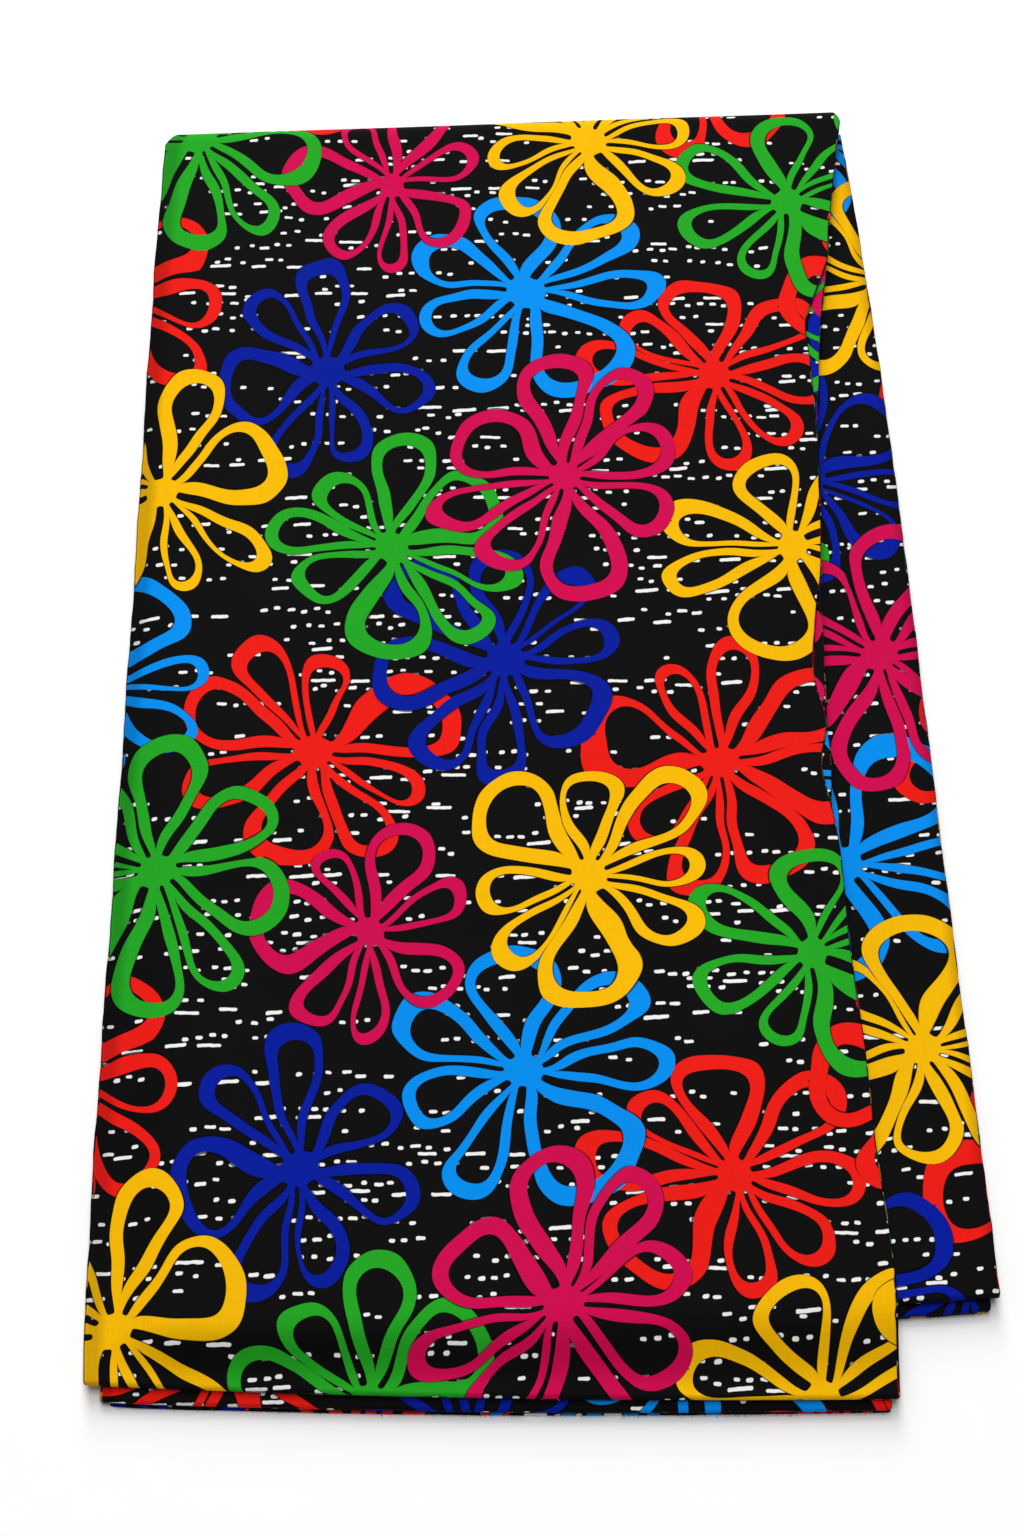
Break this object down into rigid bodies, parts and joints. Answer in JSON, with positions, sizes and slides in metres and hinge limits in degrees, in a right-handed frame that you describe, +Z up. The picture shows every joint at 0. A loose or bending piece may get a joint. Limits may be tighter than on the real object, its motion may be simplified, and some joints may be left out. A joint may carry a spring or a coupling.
{
  "type": "folded length of african wax print fabric",
  "caption": "Length of wax print cotton folded into a flat layered pack, its lower half swung aslant to the right, lying on a surface.",
  "frame": {"origin": "middle of the folded pack's plan, on the surface that it lies on", "axes": "+X to the right across the band, +Y along the band towards the far fold, +Z up"},
  "size_m": [0.3326, 0.5704, 0.0187],
  "materials": {
    "printed_cotton": "matte printed cotton, black ground with many-coloured looped flowers and small white marks"
  },
  "bodies": {
    "root": {"front_panel": "printed_cotton", "front_second_fold": "printed_cotton", "front_cut_end": "printed_cotton", "front_hidden_layers": "printed_cotton", "back_panel": "printed_cotton", "back_second_fold": "printed_cotton", "back_hidden_layers": "printed_cotton", "underside_panel": "printed_cotton"}
  },
  "joints": []
}
